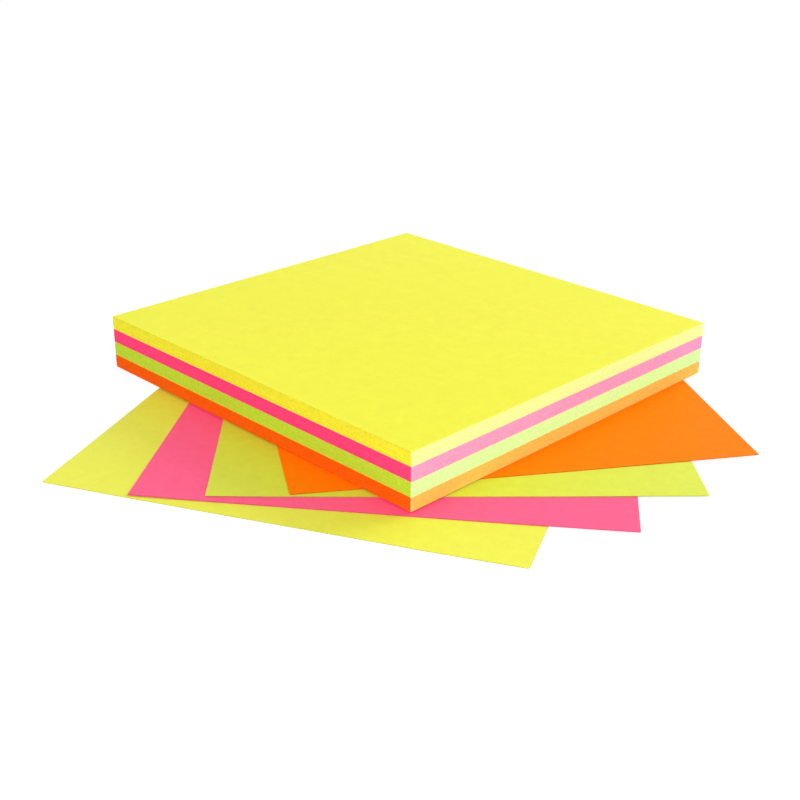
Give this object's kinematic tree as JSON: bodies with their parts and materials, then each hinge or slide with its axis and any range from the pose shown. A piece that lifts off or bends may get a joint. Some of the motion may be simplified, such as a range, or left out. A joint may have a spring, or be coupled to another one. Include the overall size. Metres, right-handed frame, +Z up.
{
  "type": "sticky note pad",
  "caption": "Square block of neon paper sticky notes in coloured layers, lying on a fan of loose notes in the same colours.",
  "frame": {"origin": "under the middle of the pad, on the surface that the lowest loose note lies on", "axes": "+Z up through the pad's thickness; X and Y along the pad's sides; the loose notes fan out past the corner at +X, -Y"},
  "size_m": [0.108, 0.1297, 0.0103],
  "materials": {
    "yellow_paper": "matt fluorescent yellow paper",
    "pink_paper": "matt fluorescent pink paper",
    "green_paper": "matt fluorescent green paper",
    "orange_paper": "matt fluorescent orange paper"
  },
  "bodies": {
    "root": {"loose_yellow_note": "yellow_paper", "loose_pink_note": "pink_paper", "loose_green_note": "green_paper", "loose_orange_note": "orange_paper", "orange_block": "orange_paper", "green_block": "green_paper", "pink_block": "pink_paper", "yellow_block": "yellow_paper"}
  },
  "joints": []
}
